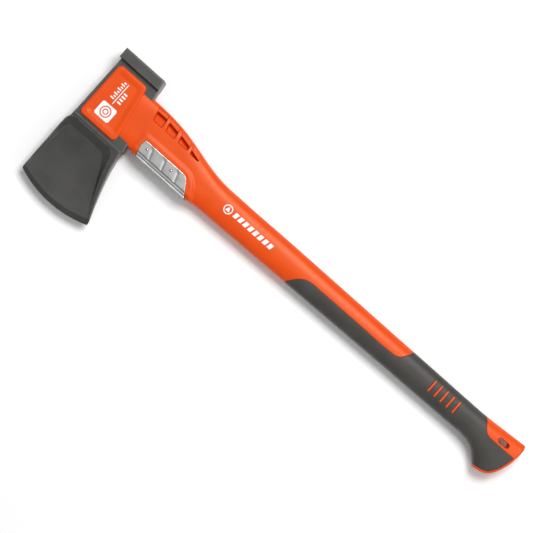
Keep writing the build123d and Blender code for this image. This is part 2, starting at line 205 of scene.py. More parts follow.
def coated_steel():
    """Forged steel under a dark satin coating, with grit from the shot blast below it."""
    mat, tree, shader = new_material("forged_steel")
    cloud = noise(tree, 28.0, 5.0)
    speck = noise(tree, 1500.0, 2.0)
    base = mix(tree, ramp(tree, cloud, 0.35, 0.65, 0, 1), (0.032, 0.031, 0.0275), (0.043, 0.042, 0.0385))
    base = mix(tree, ramp(tree, speck, 0.66, 0.72, 0, 0.5), base, (0.12, 0.118, 0.11))
    # Lighter grey along the edge lines marked in the mesh: a painted highlight, broken into patches.
    base = edge_highlight(tree, base, (0.15, 0.148, 0.14), marked(tree), 0.6)
    tree.links.new(base, shader.inputs["Base Color"])
    tree.links.new(ramp(tree, cloud, 0.3, 0.7, 0.40, 0.52), shader.inputs["Roughness"])
    bump(tree, shader, noise(tree, 1100.0, 3.0), 0.35, 0.00015)
    bump(tree, shader, noise(tree, 120.0, 4.0), 0.25, 0.0005)
    shader.inputs["Metallic"].default_value = 0.2
    shader.inputs["Coat Weight"].default_value = 0.3
    shader.inputs["Coat Roughness"].default_value = 0.25
    return mat


def soft_rubber():
    """Thermoplastic elastomer: dull, with a fine leathery grain."""
    mat, tree, shader = new_material("soft_grip")
    cloud = noise(tree, 40.0, 4.0)
    base = mix(tree, ramp(tree, cloud, 0.35, 0.65, 0, 1), (0.037, 0.035, 0.031), (0.047, 0.045, 0.040))
    tree.links.new(base, shader.inputs["Base Color"])
    grain = noise(tree, 1700.0, 3.0)
    tree.links.new(ramp(tree, grain, 0.3, 0.7, 0.42, 0.54), shader.inputs["Roughness"])
    bump(tree, shader, grain, 0.3, 0.00008)
    shader.inputs["Specular IOR Level"].default_value = 0.34
    shader.inputs["Sheen Weight"].default_value = 0.06
    shader.inputs["Sheen Roughness"].default_value = 0.5
    return mat


def stainless():
    """Brushed stainless sheet, the brushing along the handle."""
    mat, tree, shader = new_material("stainless_sheet")
    lines = streaks(tree, (60.0, 2600.0, 2600.0))
    cloud = noise(tree, 90.0, 4.0)
    base = mix(tree, ramp(tree, cloud, 0.35, 0.65, 0, 1), (0.34, 0.34, 0.33), (0.41, 0.41, 0.40))
    # Lighter steel on the sharpest edges and folds: a painted highlight, broken into patches.
    base = edge_highlight(tree, base, (0.60, 0.60, 0.59), raised(tree, 0.52, 0.56), 0.2)
    tree.links.new(base, shader.inputs["Base Color"])
    tree.links.new(ramp(tree, lines, 0.3, 0.7, 0.28, 0.36), shader.inputs["Roughness"])
    bump(tree, shader, lines, 0.15, 0.00004)
    shader.inputs["Metallic"].default_value = 1.0
    return mat


def ink():
    """White printing ink, slightly uneven."""
    mat, tree, shader = new_material("printing_ink")
    cloud = noise(tree, 500.0, 3.0)
    tree.links.new(mix(tree, cloud, (0.80, 0.80, 0.79), (0.88, 0.88, 0.87)), shader.inputs["Base Color"])
    tree.links.new(ramp(tree, cloud, 0.3, 0.7, 0.45, 0.6), shader.inputs["Roughness"])
    return mat


def plain_steel(name):
    """Turned steel of the pins and rivets."""
    mat, tree, shader = new_material(name)
    cloud = noise(tree, 300.0, 3.0)
    tree.links.new(mix(tree, cloud, (0.42, 0.42, 0.42), (0.55, 0.55, 0.55)), shader.inputs["Base Color"])
    tree.links.new(ramp(tree, cloud, 0.3, 0.7, 0.3, 0.4), shader.inputs["Roughness"])
    shader.inputs["Metallic"].default_value = 1.0
    return mat


def fibre_tube():
    """Pultruded glass fibre of the hidden core tube."""
    mat, tree, shader = new_material("glass_fibre")
    strands = streaks(tree, (20.0, 2000.0, 2000.0))
    tree.links.new(mix(tree, strands, (0.62, 0.58, 0.42), (0.82, 0.79, 0.66)), shader.inputs["Base Color"])
    tree.links.new(ramp(tree, strands, 0.3, 0.7, 0.35, 0.5), shader.inputs["Roughness"])
    return mat


ORANGE = orange_plastic()
STEEL = coated_steel()
RUBBER = soft_rubber()
SHEET = stainless()
RIVET = plain_steel("rivet_steel")
INK = ink()


def paint(obj, mat):
    """Gives a mesh one material in every slot."""
    obj.data.materials.clear()
    obj.data.materials.append(mat)


for name in ("handle_body", "cheek_cover_upper", "cheek_cover_lower"):
    paint(nodes[name], ORANGE)
paint(nodes["axe_head"], STEEL)
paint(nodes["grip_overmould"], RUBBER)
for name in ("strike_guard", "guard_rivets"):
    paint(nodes[name], SHEET)
paint(nodes["head_lock_pins"], plain_steel("pin_steel"))
paint(nodes["fibre_core"], fibre_tube())


# ------------------------------------------------------------------ mesh helpers
SIDES = ((1, "upper"), (-1, "lower"))


def hermite(known_x, known_y, x):
    """Smooth curve through known points, evaluated at x."""
    known_x, known_y, x = (np.asarray(v, float) for v in (known_x, known_y, x))
    slope = np.gradient(known_y, known_x)
    i = np.clip(np.searchsorted(known_x, x) - 1, 0, len(known_x) - 2)
    step = known_x[i + 1] - known_x[i]
    t = (x - known_x[i]) / step
    return ((2 * t**3 - 3 * t**2 + 1) * known_y[i] + (t**3 - 2 * t**2 + t) * step * slope[i]
            + (3 * t**2 - 2 * t**3) * known_y[i + 1] + (t**3 - t**2) * step * slope[i + 1])


def smooth(value, low, high):
    """Smoothstep from 0 at low to 1 at high."""
    t = np.clip((value - low) / (high - low), 0.0, 1.0)
    return t * t * (3 - 2 * t)


def inside(x, y, corners, radius=0.0):
    """Signed distance into a polygon, positive inside; its corners are rounded by radius."""
    corners = np.asarray(corners, float)
    if radius:
        corners = shrink(corners, radius)
    gap = np.full(np.shape(x), 1e9)
    within = np.zeros(np.shape(x), bool)
    for (ax, ay), (bx, by) in zip(corners, np.roll(corners, -1, axis=0)):
        dx, dy = bx - ax, by - ay
        t = np.clip(((x - ax) * dx + (y - ay) * dy) / (dx * dx + dy * dy), 0, 1)
        gap = np.minimum(gap, np.hypot(x - ax - t * dx, y - ay - t * dy))
        crosses = (ay > y) != (by > y)
        rise = by - ay if by != ay else 1e-12
        within ^= crosses & (x < ax + (y - ay) / rise * dx)
    return np.where(within, gap, -gap) + radius


def shrink(corners, amount):
    """Polygon moved inwards by amount, whichever way round it runs."""
    following = np.roll(corners, -1, axis=0)
    area = np.sum(corners[:, 0] * following[:, 1] - following[:, 0] * corners[:, 1])
    edge = following - corners
    edge = edge / np.linalg.norm(edge, axis=1)[:, None]
    normal = np.stack([-edge[:, 1], edge[:, 0]], axis=1) * np.sign(area)
    before = np.roll(normal, 1, axis=0)
    return corners + amount * (normal + before) / (1 + np.sum(normal * before, axis=1))[:, None]


def rounding(distance, radius):
    """Drop of a rounded edge at a distance in from it."""
    return radius - np.sqrt(np.maximum(radius**2 - np.clip(radius - distance, 0, radius) ** 2, 0))


def place(x, y, half):
    """Row points from arrays of tool coordinates in millimetres."""
    x, y, half = np.broadcast_arrays(x, y, half)
    return np.stack([X0 + x * MM, AXIS_Y + y * MM, MID + half * MM], axis=-1)


def face_out(mesh, merge=0.0):
    """Turns the faces of a closed mesh outwards, after joining points closer than merge."""
    work = bmesh.new()
    work.from_mesh(mesh)
    if merge:
        bmesh.ops.remove_doubles(work, verts=work.verts, dist=merge)
    bmesh.ops.recalc_face_normals(work, faces=work.faces)
    work.to_mesh(mesh)
    work.free()


def make_object(name, verts, faces, material, sharp, highlight_lines=None):
    """Smooth-shaded object on the root body; edges above sharp degrees stay crisp."""
    mesh = bpy.data.meshes.new(name)
    mesh.from_pydata(list(verts), [], list(faces))
    if highlight_lines is not None:
        # The mask of painted highlight lines goes on the mesh as a point attribute.
        mesh.attributes.new("highlight_lines", "FLOAT", "POINT").data.foreach_set("value", highlight_lines)
    face_out(mesh, 2e-6)
    mesh.shade_smooth()
    mesh.set_sharp_from_angle(angle=math.radians(sharp))
    mesh.materials.append(material)
    obj = linked(name, mesh)
    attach(obj, "root")
    return obj


def sandwich(top, low):
    """Vertices and faces of a closed skin over two point grids: top from above, low from below."""
    rows, cols = top.shape[:2]
    verts = np.concatenate([top.reshape(-1, 3), low.reshape(-1, 3)])
    idx = np.arange(rows * cols).reshape(rows, cols)
    quads = np.stack([idx[:-1, :-1], idx[1:, :-1], idx[1:, 1:], idx[:-1, 1:]], axis=-1).reshape(-1, 4)
    rim = np.concatenate([idx[0, :-1], idx[:-1, -1], idx[-1, :0:-1], idx[:0:-1, 0]])
    ahead = np.roll(rim, -1)
    under = rows * cols
    walls = np.stack([rim, ahead, ahead + under, rim + under], axis=-1)
    return verts, np.concatenate([quads, quads[:, ::-1] + under, walls])


def slab(name, x, y, half, low, material, sharp=40.0):
    """Closed plate over a grid of plan points, between heights low and half (tool millimetres)."""
    verts, faces = sandwich(place(x, y, half), place(x, y, low))
    return make_object(name, verts, faces, material, sharp)


def edge_steps(radius):
    """Distances in from a rounded edge at which its grid lines lie."""
    return radius * (1 - np.cos(np.radians([0, 12, 25, 38, 52, 68, 90])))


def spread(start, end, pitch, near=0.0, far=0.0):
    """Grid lines from start to end, crowded at either end for a rounding of radius near or far."""
    first = edge_steps(near) if near else np.array([0.0])
    last = edge_steps(far) if far else np.array([0.0])
    length = abs(end - start)
    count = max(2, int(round((length - first[-1] - last[-1]) / pitch)) + 1)
    middle = np.linspace(first[-1], length - last[-1], count)
    steps = np.concatenate([first[:-1], middle, (length - last[::-1])[1:]])
    return start + math.copysign(1, end - start) * steps


# ------------------------------------------------------------------ steel head
POLL_HALF = 20.5
POLL_LOW = 51.2
NECK_HALF = 12.8
CREASE_Y = -36.4  # where the wedge starts
CREASE_HALF = 17.4
EDGE_Y = -142.6  # furthest point of the cutting edge, an arc of radius EDGE_R round x EDGE_X
EDGE_R = 149.0
EDGE_X = 54.0
EDGE_LEFT = 1.9
EDGE_SPAN = 105.1
EDGE_HALF = 0.45
BEVEL_W = 6.2
BEVEL_HALF = 3.8
FLOOR_HALF = 8.4  # half thickness at the top of the hollows
FLOOR_TOP = -52.6
CORNER_FROM = 0.965  # share of the way down where the sides turn out to the ends of the edge
SIDE_R = 1.1  # largest rounding of the wedge's sides
LEAST_HALF = 0.12
# Drop from the cheek to the hollow beside the left wall, at distances below the axis
WALL_BELOW = [48.0, 68.0]
WALL_DROP = [9.0, 3.8]
WALL_MORE = 12.0  # what the drop gains away from that wall
HIGHLIGHT_LINE_W = 0.6  # width of the painted highlight lines
BLADE_RIGHT = [(80.4, -36.4), (81.0, -44.0), (82.4, -52.0), (84.1, -60.0), (86.6, -70.0), (89.6, -80.0),
               (92.8, -90.0), (99.9, -110.0), (105.5, -124.0), (107.1, -128.0), (107.8, -131.6)]
BLADE_LEFT = [(3.0, -36.4), (3.0, -42.4), (2.4, -44.8), (1.1, -46.8), (0.3, -49.4), (0.1, -52.6),
              (-0.3, -60.0), (-0.5, -90.0), (-0.6, -118.0), (-0.7, -131.0), (-0.7, -135.2)]
MOUTH = [(-14.0, -46.0), (2.6, -45.4), (7.6, -40.6), (66.0, -40.8), (73.4, -45.6), (77.2, -57.0),
         (79.4, -66.0), (82.2, -76.0), (85.6, -86.6), (89.8, -97.6), (95.0, -109.4), (101.6, -122.6),
         (104.4, -130.0), (104.4, -150.0), (-14.0, -150.0)]
FLOOR = [(10.6, -52.4), (59.6, -52.4), (66.0, -55.8), (69.0, -61.0), (74.6, -72.0), (80.8, -84.4),
         (87.6, -97.8), (94.2, -110.4), (101.0, -123.4), (103.0, -130.0), (103.0, -150.0), (-3.0, -150.0),
         (0.8, -112.0), (4.1, -83.6), (5.8, -58.0)]


def line_at(points, y):
    """x of a side outline at height y."""
    points = sorted((py, px) for px, py in points)
    return hermite([p[0] for p in points], [p[1] for p in points], y)


def blade():
    """Grid, half thickness and mask of painted highlight lines of the wedge: hollow cheeks and a ground
    bevel.
    """
    q = np.concatenate([edge_steps(SIDE_R) / 100, np.linspace(0.018, 0.93, 118), np.linspace(0.936, 1, 12)])
    s = spread(0, 92.0, 0.72, 0.9, 0.9) / 92.0
    q, s = np.meshgrid(q, s, indexing="ij")
    arc_x = EDGE_LEFT + EDGE_SPAN * s
    arc_y = EDGE_Y + EDGE_R - np.sqrt(EDGE_R**2 - (arc_x - EDGE_X) ** 2)
    y = (1 - q) * CREASE_Y + q * arc_y
    left, right = line_at(BLADE_LEFT, y), line_at(BLADE_RIGHT, y)
    x = left + (right - left) * s
    corner = np.clip((q - CORNER_FROM) / 0.035, 0, 1)
    x = x + (arc_x - x) * (1 - np.sqrt(1 - corner**2))
    # Near the edge the cheeks' contours bend with its arc
    bent = y - (arc_y - EDGE_Y) * smooth(-y, 80.0, 128.0)
    to_bevel = np.clip((bent - EDGE_Y - BEVEL_W) / (CREASE_Y - EDGE_Y - BEVEL_W), 0, 1)
    cheek = BEVEL_HALF + (CREASE_HALF - BEVEL_HALF) * to_bevel
    to_mouth = inside(x, y, MOUTH, 3.0)
    # The left wall of the hollow falls from the blade's own side
    to_mouth = np.where(y < -46.0, np.minimum(to_mouth, 0.2 + x - left), to_mouth)
    to_floor = -inside(x, y, FLOOR, 2.0)
    rise = np.clip((bent - EDGE_Y - BEVEL_W) / (FLOOR_TOP - EDGE_Y - BEVEL_W), 0, 1.2)
    bed = BEVEL_HALF + (FLOOR_HALF - BEVEL_HALF) * (1.6 * rise**2 - 0.6 * rise)
    into = np.clip(to_mouth / np.maximum(to_mouth + np.maximum(to_floor, 0), 1e-6), 0, 1)
    into = np.where(to_mouth <= 0, 0.0, into)
    into = 0.92 * into + 0.08 * smooth(into, 0, 1)
    drop = np.maximum(cheek - bed, 0)
    low = np.interp(-y, WALL_BELOW, WALL_DROP) + WALL_MORE * smooth(x - left, 4.0, 9.0)
    half = cheek - drop + np.minimum(drop, low) * (1 - into)
    reach = EDGE_R - np.hypot(x - EDGE_X, y - EDGE_Y - EDGE_R)
    bevel = EDGE_HALF + (BEVEL_HALF - EDGE_HALF) / (4.8 + 0.026 * x) * np.maximum(reach, 0)
    # The lesser of the two, the ridge between them slightly rounded
    half = -0.12 * np.log(np.exp(-half / 0.12) + np.exp(-bevel / 0.12))
    from_side = np.minimum(x - left, right - x)
    edge_round = np.minimum(SIDE_R, 0.45 * half)
    half = half - rounding(np.minimum(from_side, np.maximum(CREASE_Y - y, 0)), edge_round)
    half = np.maximum(half, LEAST_HALF)
    lines = np.minimum(np.abs(to_mouth - 0.2), 0.4 + np.abs(to_floor))
    lines = np.minimum(lines, np.minimum(np.abs(from_side - 0.9), CREASE_Y - y))
    # No painted highlight lines on the bevel or on the side walls
    highlight_lines = np.exp(-(lines / HIGHLIGHT_LINE_W) ** 2) * (reach > 8.0) * np.clip(from_side / 0.4, 0, 1)
    return x, y, half, highlight_lines


def block(left, right, top, low, half, radius, pitch):
    """Grid, half thickness and mask of painted highlight lines of a rounded slab; left and right are (x at
    top, x at low).
    """
    y = spread(top, low, pitch, radius, radius)
    s = spread(0, 60.0, pitch, radius, radius) / 60.0
    y, s = np.meshgrid(y, s, indexing="ij")
    fall = (top - y) / (top - low)
    x_left = left[0] + (left[1] - left[0]) * fall
    x_right = right[0] + (right[1] - right[0]) * fall
    x = x_left + (x_right - x_left) * s
    border = np.minimum(np.minimum(x - x_left, x_right - x), np.minimum(top - y, y - low))
    # The last value is the mask of a painted highlight line where the rounding meets the flat.
    return x, y, half - rounding(border, radius), np.exp(-((border - radius) / HIGHLIGHT_LINE_W) ** 2)


def steel_head():
    """Hammer, neck and wedge in one object."""
    grids = [
        block((0.3, 0.3), (62.6, 64.4), POLL_Y, POLL_LOW, POLL_HALF, radius=1.3, pitch=1.2),
        block((2.8, 2.8), (64.0, 83.0), 53.0, -37.0, NECK_HALF, radius=0.8, pitch=1.4),
        blade(),
    ]
    verts, faces, highlight_lines, count = [], [], [], 0
    for x, y, half, mask in grids:
        v, f = sandwich(place(x, y, half), place(x, y, -half))
        verts.append(v)
        faces.append(f + count)
        highlight_lines += [mask.ravel(), mask.ravel()]
        count += len(v)
    obj = make_object("head_forging", np.concatenate(verts), np.concatenate(faces), STEEL, 34.0,
                      np.concatenate(highlight_lines))
    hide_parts("axe_head")


# ------------------------------------------------------------------ cheek covers
COVER = [(7.1, 45.5), (51.6, 45.5), (66.2, -33.1), (7.1, -33.1)]
PANEL_RIM = [(12.4, 40.4), (50.4, 40.4), (62.6, -26.4), (12.4, -26.4)]
PANEL_FLOOR = [(16.6, 34.6), (43.6, 34.6), (54.6, -22.4), (16.6, -22.4)]
COVER_R = 6.0
COVER_ROLL = 2.2  # rounding of the covers' edge
COVER_PITCH = 0.62
COVER_HALF = 16.2
PANEL_HALF = 14.9


def cheek_cover(face_side, which):
    """Plate with a rolled edge and a recessed label panel with sloping walls."""
    y = spread(45.5, -33.1, COVER_PITCH, COVER_R, COVER_R)
    scan = np.linspace(5.0, 68.0, 2521)
    ends = []
    for row in y:
        reach = inside(scan, np.clip(row, -33.05, 45.45), COVER, COVER_R)
        across_row = scan[reach > 0]
        ends.append((across_row[0], across_row[-1]))
    ends = np.array(ends)
    s = spread(0, 52.0, COVER_PITCH, COVER_ROLL, COVER_ROLL) / 52.0
    y, s = np.meshgrid(y, s, indexing="ij")
    x = ends[:, :1] + (ends[:, 1:] - ends[:, :1]) * s
    border = inside(x, y, COVER, COVER_R)
    half = COVER_HALF - rounding(border, COVER_ROLL)
    to_rim = np.maximum(inside(x, y, PANEL_RIM, 4.5), 0)
    to_floor = np.maximum(-inside(x, y, PANEL_FLOOR, 2.0), 0)
    into = to_rim / np.maximum(to_rim + to_floor, 1e-6)
    into = 0.35 * into + 0.65 * smooth(into, 0, 1)
    half = half - (COVER_HALF - PANEL_HALF) * into
    low = NECK_HALF - 0.4
    obj = slab(f"cover_{which}", x, y, face_side * half, face_side * low, ORANGE, 50.0)
    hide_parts(f"cheek_cover_{which}")


# ------------------------------------------------------------------ handle
# Stations: top point, bottom point, half thickness, squareness of the section
STATIONS = np.array([
    (48.0, 39.8, 48.0, -25.6, 14.4, 6.0), (80.0, 39.9, 80.0, -26.4, 14.4, 6.0),
    (100.0, 39.1, 100.0, -27.4, 14.3, 5.6), (122.3, 36.4, 122.3, -27.4, 14.1, 4.9),
    (147.2, 31.1, 147.2, -27.0, 13.9, 4.1), (172.0, 24.9, 172.0, -26.6, 13.7, 3.4),
    (197.0, 20.6, 197.0, -25.0, 13.5, 2.9), (234.0, 19.8, 234.0, -24.1, 13.4, 2.6),
    (309.0, 20.6, 309.0, -22.2, 13.2, 2.5), (371.0, 20.9, 371.0, -20.6, 13.0, 2.4),
    (433.0, 21.1, 433.0, -19.1, 13.0, 2.4), (496.0, 21.3, 496.0, -17.6, 13.0, 2.4),
    (558.0, 21.6, 558.0, -16.5, 13.0, 2.4), (610.0, 21.8, 610.0, -15.5, 13.1, 2.4),
    (634.0, 22.1, 629.0, -15.2, 13.3, 2.5), (651.0, 23.0, 642.5, -17.4, 13.6, 2.6),
    (668.0, 24.2, 652.5, -22.7, 13.9, 2.8), (686.0, 25.4, 660.3, -30.0, 14.0, 3.0),
])
BUTT_END = [(695.6, 26.5), (698.0, 25.8), (699.1, 23.6), (699.6, 15.8), (698.9, 5.8), (696.7, -6.6),
            (692.6, -17.9), (688.2, -26.0), (683.6, -30.9), (678.7, -33.5), (671.2, -35.5), (664.9, -36.8)]
RIM_END = [(692.2, 26.2), (695.0, 24.0), (696.2, 17.0), (696.2, 5.2), (694.6, -2.9), (690.9, -15.4),
           (686.1, -24.1), (682.2, -28.7), (677.4, -31.0), (670.0, -32.9), (663.4, -34.2)]
GRIP_FRONT = [(337.5, -23.0), (339.5, -18.2), (342.5, -14.1), (346.2, -9.2), (352.4, -3.8),
              (358.6, -0.9), (364.8, 0.3), (380.0, 0.55), (440.0, 1.3), (495.0, 2.0), (501.2, 2.5),
              (504.9, 3.7), (508.7, 6.6), (512.4, 12.0), (514.9, 16.8), (517.4, 24.0)]
GRIP_BACK = [(636.6, 24.0), (638.7, 21.6), (642.5, 16.8), (645.6, 11.9), (649.9, 7.2), (654.9, 5.2),
             (661.0, 4.9), (680.0, 5.0), (699.0, 5.3)]
LAST_STATION = 686.0
BLEND_FROM = 646.0
GROOVE_W = 0.6
GROOVE_D = 0.5
SINK = 1.3  # how far the handle lies below the soft grip
SHAFT_HALF_W = 19.0
SHAFT_HALF = 13.0


def stations_at(t):
    """Section values at handle positions t: top x, top y, low x, low y, half thickness, power."""
    return [hermite(STATIONS[:, 0], STATIONS[:, i], t) for i in range(6)]


def along(curve, v):
    """Points of an end curve, top to bottom, for section coordinates v from 1 to -1."""
    curve = np.asarray(curve)
    run = np.concatenate([[0], np.cumsum(np.hypot(*np.diff(curve, axis=0).T))])
    s = (1 - np.clip(v, -1, 1)) / 2 * run[-1]
    return hermite(run, curve[:, 0], s), hermite(run, curve[:, 1], s)


def plan(t, v):
    """Plan position of section coordinate v, 1 at the back and -1 at the belly, at position t."""
    top_x, top_y, low_x, low_y = stations_at(t)[:4]
    x = (top_x + low_x) / 2 + v * (top_x - low_x) / 2
    y = (top_y + low_y) / 2 + v * (top_y - low_y) / 2
    blend = np.clip((t - BLEND_FROM) / (LAST_STATION - BLEND_FROM), 0, 1) ** 2
    if np.max(blend) > 0:
        end_x, end_y = along(RIM_END, v)
        last = stations_at(LAST_STATION)
        x = x + blend * (end_x - (last[0] + last[2]) / 2 - v * (last[0] - last[2]) / 2)
        y = y + blend * (end_y - (last[1] + last[3]) / 2 - v * (last[1] - last[3]) / 2)
    return x, y


def grip_edge(x):
    """Height of the soft grip's upper edge at x, and its slope there."""
    front, back = np.array(GRIP_FRONT), np.array(GRIP_BACK)

    def height(at):
        before = hermite(front[:, 0], front[:, 1], np.clip(at, front[0, 0], front[-1, 0]))
        after = hermite(back[:, 0], back[:, 1], np.clip(at, back[0, 0], back[-1, 0]))
        edge = np.where(at < 577.0, before, after)
        all_round = (at > front[-1, 0]) & (at < back[0, 0])
        return np.where(at < front[0, 0], -60.0, np.where(all_round, 60.0, edge))

    return height(x), np.clip((height(x + 0.2) - height(x - 0.2)) / 0.4, -5.0, 5.0)


DENSE = np.pi / 2 * (1 - np.cos(np.pi * np.arange(701) / 700))


def section_lines(t, above, below):
    """Section coordinates and thickness factors of one row: lines above and below the grip's edge."""
    half, power = (float(v) for v in stations_at(t)[4:])
    v = np.copysign(np.abs(np.cos(DENSE)) ** (2 / power), np.cos(DENSE))
    factor = np.abs(np.sin(DENSE)) ** (2 / power)
    x, y = plan(t, v)
    run = np.concatenate([[0], np.cumsum(np.hypot(np.hypot(np.diff(x), np.diff(y)),
                                                  0.35 * half * np.diff(factor)))])
    over = y > grip_edge(x)[0]
    if over.all():
        edge = run[-1]
    elif not over.any():
        edge = 0.0
    else:
        k = int(np.argmax(~over))
        edge = run[max(k - 1, 0):k + 1].mean()
        gap = (y - grip_edge(x)[0])[max(k - 1, 0):k + 1]
        if k and gap[0] > 0 > gap[1] and gap[0] < 5:
            edge = run[k - 1] + (run[k] - run[k - 1]) * gap[0] / (gap[0] - gap[1])
    close = np.array([0.75, 0.5, 0.25, 0.0])
    near = min(GROOVE_W, 0.3 * edge)
    upper = np.concatenate([np.linspace(0, edge - near, above - 4), edge - near * close])
    rest = run[-1] - edge
    near = min(GROOVE_W, 0.3 * rest)
    lower = np.concatenate([edge + near * close[::-1], np.linspace(edge + near, run[-1], below - 4)])
    lines = []
    for s in (upper, lower):
        lines.append((np.interp(s, run, v), np.interp(s, run, factor)))
    return lines, edge, run[-1]


# Weight-saving pockets of the arm, from the head outwards, and the radius of their corners
POCKETS = [
    [(79.8, 32.3), (96.3, 32.3), (98.2, 19.4), (83.3, 19.8)],
    [(100.3, 31.7), (117.0, 29.4), (119.0, 19.5), (103.9, 19.7)],
    [(122.0, 29.2), (139.3, 25.4), (140.4, 19.3), (124.5, 19.6)],
    [(143.6, 24.3), (159.9, 19.6), (158.4, 18.3), (144.9, 18.6)],
]
POCKET_R = (1.4, 1.4, 1.4, 0.6)
POCKET_HALF = 2.8  # floor of the pockets at their upper end
POCKET_RISE = 0.42
CUT_TOP = 24.0  # height of the cutters, clear of the surface
PAD = [(87.0, -60.0), (83.2, -8.0), (83.9, -1.4), (86.4, 3.2), (91.0, 5.2), (153.0, 5.2), (160.0, 4.5),
       (165.8, 2.6), (170.8, -0.5), (175.4, -4.6), (179.8, -9.8), (184.2, -16.6), (189.4, -26.0),
       (200.0, -60.0)]
PAD_HALF = 15.2
SLOT = (674.3, 11.1)
SLOT_REACH = 5.0
SLOT_R = 3.3


def arm_detail(x, y, half):
    """Pockets with their sloping ledges, and the raised pad round the strike guard."""
    back = hermite(STATIONS[:, 0], STATIONS[:, 1], x)
    ledge = 9.3 + 0.38 * (back - y)
    for (ax, ay), (bx, by), _, _ in POCKETS:
        zone = [(ax + 1.2, ay - 4), (ax - 3.0, ay + 14), (bx - 3.6, by + 14), (bx + 0.9, by - 4)]
        cut = smooth(inside(x, y, zone, 0.8), -0.35, 0.45) * smooth(back - y, 2.6, 3.8)
        half = half - cut * np.maximum(half - ledge, 0)
    deck = np.where(y > -21.0, PAD_HALF, PAD_HALF + (y + 21.0) * 0.75)
    on_pad = smooth(inside(x, y, PAD, 3.0), 0.0, 6.0)
    half = half + on_pad * np.maximum(deck - half, 0) * (y > -27.3)
    return half


SLITS = 5
SLIT_X = 561.0  # the first slit
SLIT_PITCH = 10.0
SLIT_Y = 5.1
SLIT_STRAIGHT = 7.35  # half length of the straight sides
SLIT_HALF_W = 1.35


def slit_distance(x, y):
    """Distance outwards from the nearest of the slits in the grip."""
    middle = np.round(np.clip((x - SLIT_X) / SLIT_PITCH, 0, SLITS - 1)) * SLIT_PITCH + SLIT_X
    return np.hypot(x - middle, np.maximum(np.abs(y - SLIT_Y) - SLIT_STRAIGHT, 0)) - SLIT_HALF_W


def form_half(x, y):
    """Half thickness of the plain handle form at plan points of the straight shaft."""
    _, top, _, low, half, power = stations_at(x)
    v = np.clip(np.abs((2 * y - top - low) / (top - low)), 0, 1)
    return half * (1 - v**power) ** (1 / power)


def groove(x, y):
    """Depth of the joint line between handle and grip."""
    edge, slope = grip_edge(x)
    gap = np.abs(y - edge) / np.sqrt(1 + slope**2)
    return GROOVE_D * np.clip(1 - gap / GROOVE_W, 0, 1) ** 2


def handle_moulding():
    """Fork arm, shaft and butt in one closed skin, sunk where the soft grip covers it."""
    rows = np.concatenate([
        np.arange(50.0, 192.0, 0.78), np.arange(192.0, 330.0, 3.0), np.arange(330.0, 372.0, 1.2),
        np.arange(372.0, 490.0, 4.5), np.arange(490.0, 521.0, 1.0), np.arange(521.0, 634.0, 5.0),
        np.linspace(634.0, LAST_STATION, 70)])
    above, below = 92, 24
    grid = []
    for t in rows:
        (upper, lower), edge, total = section_lines(t, above, below)
        v = np.concatenate([upper[0], lower[0]])
        factor = np.concatenate([upper[1], lower[1]])
        half = float(stations_at(t)[4])
        keep = np.ones(len(v))
        covered = np.zeros(len(v), bool)
        if edge < total - 1e-6:
            covered[above:] = True
        if edge < 1e-6:
            covered[:] = True
        keep[covered] = 1 - SINK / SHAFT_HALF_W
        x, y = plan(t, v * keep)
        if 60.0 < t < 190.0:  # rows lean along the sides of the pockets
            lean = 0.24 * smooth(t, 64.0, 82.0) * (1 - smooth(t, 160.0, 186.0))
            for _ in range(4):
                x = t - lean * (y - 19.5)
                _, top, _, low, half, _ = stations_at(x)
                y = (top + low) / 2 + v * (top - low) / 2
        thick = half * factor * np.where(covered, 1 - SINK / SHAFT_HALF, 1.0)
        thick = thick - np.where(covered | (factor < 0.2), 0, groove(x, y))
        grid.append((x, y, thick))
    # End rim: rows from its inner line out to the butt's end
    inner_x, inner_y = along(RIM_END, v)
    outer_x, outer_y = along(BUTT_END, v)
    half = float(stations_at(LAST_STATION)[4])
    under_edge = inner_y < grip_edge(inner_x)[0]
    for w in (0.0, 0.1, 0.2, 0.4, 0.58, 0.74, 0.87, 0.95, 1.0):
        x = inner_x + (outer_x - inner_x) * w
        y = inner_y + (outer_y - inner_y) * w
        drop = rounding(np.full_like(v, 3.0 * (1 - w)), 2.4)
        lip = np.where(under_edge, GROOVE_D * np.clip(1 - 3.0 * w / GROOVE_W, 0, 1) ** 2, 0)
        grid.append((x, y, np.maximum(half - drop - lip, 0) * factor))
    x, y, thick = (np.array([g[i] for g in grid]) for i in range(3))
    arm = x < 200.0
    thick[arm] = arm_detail(x[arm], y[arm], thick[arm])
    verts, faces = sandwich(place(x, y, thick), place(x, y, -thick))
    obj = make_object("handle_moulding", verts, faces, ORANGE, 50.0)
    cut_openings(obj, x.ravel(), y.ravel(), thick.ravel())
    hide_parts("handle_body")


def arc(cx, cy, r, start=0.0, end=360.0, count=48):
    """Points of an arc in tool coordinates."""
    turn = np.radians(np.linspace(start, end, count, endpoint=end - start < 359))
    return [(cx + r * math.cos(a), cy + r * math.sin(a)) for a in turn]


def rounded(corners, radius, grow=0.0):
    """Outline points of a polygon with rounded corners, grown outwards by grow."""
    centres = shrink(np.asarray(corners, float), radius)
    area = np.sum(centres[:, 0] * np.roll(centres[:, 1], -1) - np.roll(centres[:, 0], -1) * centres[:, 1])
    if area < 0:
        centres = centres[::-1]
    points = []
    for before, here, after in zip(np.roll(centres, 1, axis=0), centres, np.roll(centres, -1, axis=0)):
        start = math.atan2(here[1] - before[1], here[0] - before[0]) - math.pi / 2
        end = math.atan2(after[1] - here[1], after[0] - here[0]) - math.pi / 2
        turn = (end - start) % (2 * math.pi)
        for k in range(7):
            a = start + turn * k / 6
            points.append(here + (radius + grow) * np.array([math.cos(a), math.sin(a)]))
    return np.array(points)


